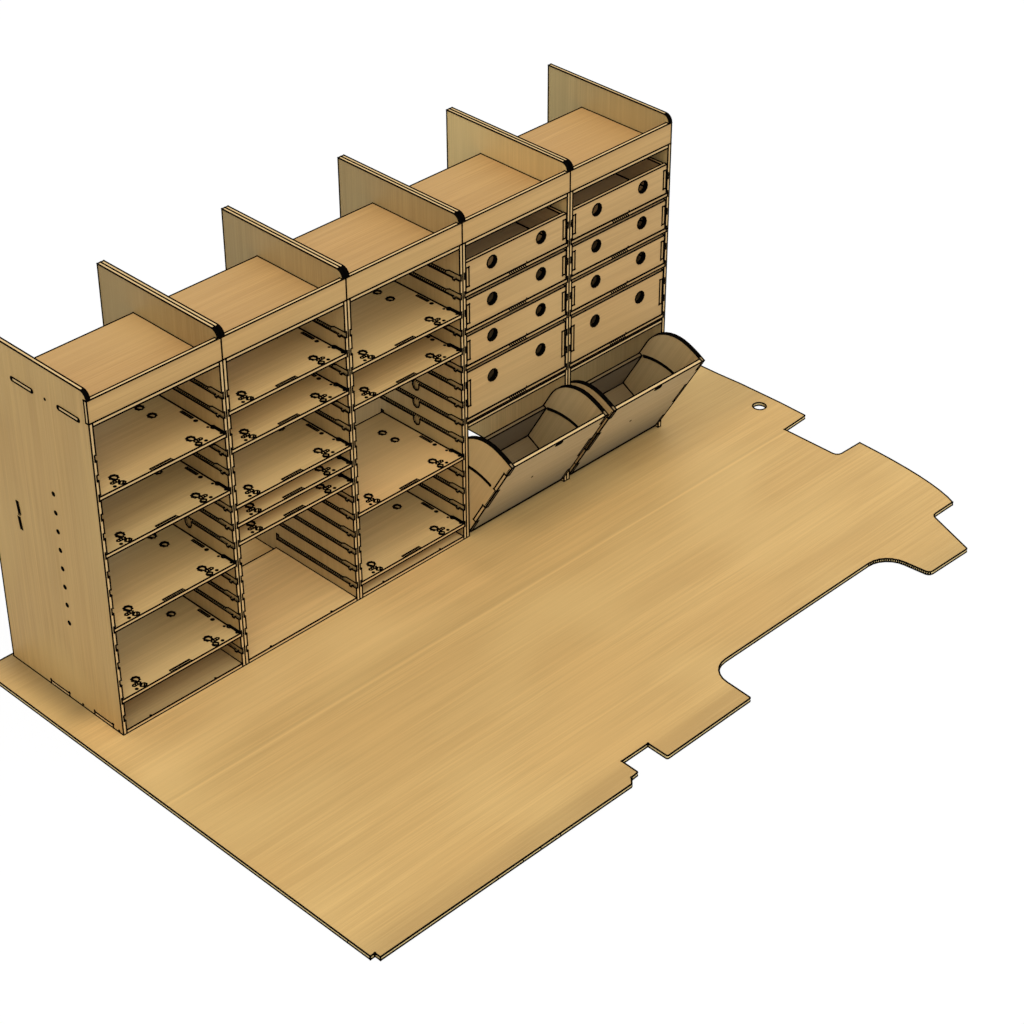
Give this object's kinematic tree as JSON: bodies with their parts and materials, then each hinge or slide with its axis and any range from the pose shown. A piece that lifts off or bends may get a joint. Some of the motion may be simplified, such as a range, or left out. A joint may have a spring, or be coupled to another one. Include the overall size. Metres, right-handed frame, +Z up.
{
  "type": "van racking unit",
  "caption": "Plywood van racking in a row of bays with pull-out trays, drawers and tilt-out bins, standing on a cut-out load floor.",
  "frame": {"origin": "centre of the floor panel's bounding rectangle, on its underside", "axes": "+X along the row of bays from the tray end to the bin end, -Y the way the drawers open, +Z up"},
  "size_m": [2.867, 1.761, 1.1973],
  "materials": {
    "upright_ply": "clear satin birch plywood, grain upright",
    "shelf_ply": "clear satin birch plywood, grain along the row",
    "drawer_ply": "clear satin birch plywood",
    "bin_ply": "clear satin birch plywood",
    "floor_ply": "clear satin plywood lining board"
  },
  "bodies": {
    "rack": {"side_panel_1_left": "upright_ply", "side_panel_1_right": "upright_ply", "side_panel_2_left": "upright_ply", "side_panel_2_right": "upright_ply", "side_panel_3_left": "upright_ply", "side_panel_3_right": "upright_ply", "side_panel_4_left": "upright_ply", "side_panel_4_right": "upright_ply", "side_panel_5_left": "upright_ply", "side_panel_5_right": "upright_ply", "deck_1": "shelf_ply", "deck_2": "shelf_ply", "deck_3": "shelf_ply", "deck_4": "shelf_ply", "deck_5": "shelf_ply", "front_lip_1": "shelf_ply", "front_lip_2": "shelf_ply", "front_lip_3": "shelf_ply", "front_lip_4": "shelf_ply", "front_lip_5": "shelf_ply", "bottom_panel_1": "shelf_ply", "bottom_panel_2": "shelf_ply", "bottom_panel_3": "shelf_ply", "divider_shelf_4": "shelf_ply", "divider_shelf_5": "shelf_ply", "floor_panel": "floor_ply"},
    "tray_1_1": {"tray_1_1": "shelf_ply"},
    "tray_1_2": {"tray_1_2": "shelf_ply"},
    "tray_1_3": {"tray_1_3": "shelf_ply"},
    "tray_1_4": {"tray_1_4": "shelf_ply"},
    "tray_2_1": {"tray_2_1": "shelf_ply"},
    "tray_2_2": {"tray_2_2": "shelf_ply"},
    "tray_2_3": {"tray_2_3": "shelf_ply"},
    "tray_2_4": {"tray_2_4": "shelf_ply"},
    "tray_2_5": {"tray_2_5": "shelf_ply"},
    "tray_3_1": {"tray_3_1": "shelf_ply"},
    "tray_3_2": {"tray_3_2": "shelf_ply"},
    "tray_3_3": {"tray_3_3": "shelf_ply"},
    "tray_3_4": {"tray_3_4": "shelf_ply"},
    "drawer_4_1": {"drawer_4_1_box": "drawer_ply", "drawer_4_1_front": "drawer_ply"},
    "drawer_4_2": {"drawer_4_2_box": "drawer_ply", "drawer_4_2_front": "drawer_ply"},
    "drawer_4_3": {"drawer_4_3_box": "drawer_ply", "drawer_4_3_front": "drawer_ply"},
    "drawer_4_4": {"drawer_4_4_box": "drawer_ply", "drawer_4_4_front": "drawer_ply"},
    "drawer_5_1": {"drawer_5_1_box": "drawer_ply", "drawer_5_1_front": "drawer_ply"},
    "drawer_5_2": {"drawer_5_2_box": "drawer_ply", "drawer_5_2_front": "drawer_ply"},
    "drawer_5_3": {"drawer_5_3_box": "drawer_ply", "drawer_5_3_front": "drawer_ply"},
    "drawer_5_4": {"drawer_5_4_box": "drawer_ply", "drawer_5_4_front": "drawer_ply"},
    "bin_4": {"bin_4_tub": "bin_ply", "bin_4_front": "bin_ply"},
    "bin_5": {"bin_5_tub": "bin_ply", "bin_5_front": "bin_ply"}
  },
  "joints": [
    {"name": "tray_1_1_slide", "type": "slide", "parent": "rack", "child": "tray_1_1", "axis": [0, -1, 0], "range_m": [0, 0.3]},
    {"name": "tray_1_2_slide", "type": "slide", "parent": "rack", "child": "tray_1_2", "axis": [0, -1, 0], "range_m": [0, 0.3]},
    {"name": "tray_1_3_slide", "type": "slide", "parent": "rack", "child": "tray_1_3", "axis": [0, -1, 0], "range_m": [0, 0.3]},
    {"name": "tray_1_4_slide", "type": "slide", "parent": "rack", "child": "tray_1_4", "axis": [0, -1, 0], "range_m": [0, 0.3]},
    {"name": "tray_2_1_slide", "type": "slide", "parent": "rack", "child": "tray_2_1", "axis": [0, -1, 0], "range_m": [0, 0.3]},
    {"name": "tray_2_2_slide", "type": "slide", "parent": "rack", "child": "tray_2_2", "axis": [0, -1, 0], "range_m": [0, 0.3]},
    {"name": "tray_2_3_slide", "type": "slide", "parent": "rack", "child": "tray_2_3", "axis": [0, -1, 0], "range_m": [0, 0.3]},
    {"name": "tray_2_4_slide", "type": "slide", "parent": "rack", "child": "tray_2_4", "axis": [0, -1, 0], "range_m": [0, 0.3]},
    {"name": "tray_2_5_slide", "type": "slide", "parent": "rack", "child": "tray_2_5", "axis": [0, -1, 0], "range_m": [0, 0.3]},
    {"name": "tray_3_1_slide", "type": "slide", "parent": "rack", "child": "tray_3_1", "axis": [0, -1, 0], "range_m": [0, 0.3]},
    {"name": "tray_3_2_slide", "type": "slide", "parent": "rack", "child": "tray_3_2", "axis": [0, -1, 0], "range_m": [0, 0.3]},
    {"name": "tray_3_3_slide", "type": "slide", "parent": "rack", "child": "tray_3_3", "axis": [0, -1, 0], "range_m": [0, 0.3]},
    {"name": "tray_3_4_slide", "type": "slide", "parent": "rack", "child": "tray_3_4", "axis": [0, -1, 0], "range_m": [0, 0.3]},
    {"name": "drawer_4_1_slide", "type": "slide", "parent": "rack", "child": "drawer_4_1", "axis": [0, -1, 0], "range_m": [0, 0.3]},
    {"name": "drawer_4_2_slide", "type": "slide", "parent": "rack", "child": "drawer_4_2", "axis": [0, -1, 0], "range_m": [0, 0.3]},
    {"name": "drawer_4_3_slide", "type": "slide", "parent": "rack", "child": "drawer_4_3", "axis": [0, -1, 0], "range_m": [0, 0.3]},
    {"name": "drawer_4_4_slide", "type": "slide", "parent": "rack", "child": "drawer_4_4", "axis": [0, -1, 0], "range_m": [0, 0.3]},
    {"name": "drawer_5_1_slide", "type": "slide", "parent": "rack", "child": "drawer_5_1", "axis": [0, -1, 0], "range_m": [0, 0.3]},
    {"name": "drawer_5_2_slide", "type": "slide", "parent": "rack", "child": "drawer_5_2", "axis": [0, -1, 0], "range_m": [0, 0.3]},
    {"name": "drawer_5_3_slide", "type": "slide", "parent": "rack", "child": "drawer_5_3", "axis": [0, -1, 0], "range_m": [0, 0.3]},
    {"name": "drawer_5_4_slide", "type": "slide", "parent": "rack", "child": "drawer_5_4", "axis": [0, -1, 0], "range_m": [0, 0.3]},
    {"name": "bin_4_tilt", "type": "hinge", "parent": "rack", "child": "bin_4", "pos_m": [0.32035, 0.3425, 0.0313], "axis": [-1, 0, 0], "range_deg": [0, 30]},
    {"name": "bin_5_tilt", "type": "hinge", "parent": "rack", "child": "bin_5", "pos_m": [0.79035, 0.3425, 0.0313], "axis": [-1, 0, 0], "range_deg": [0, 30]}
  ]
}
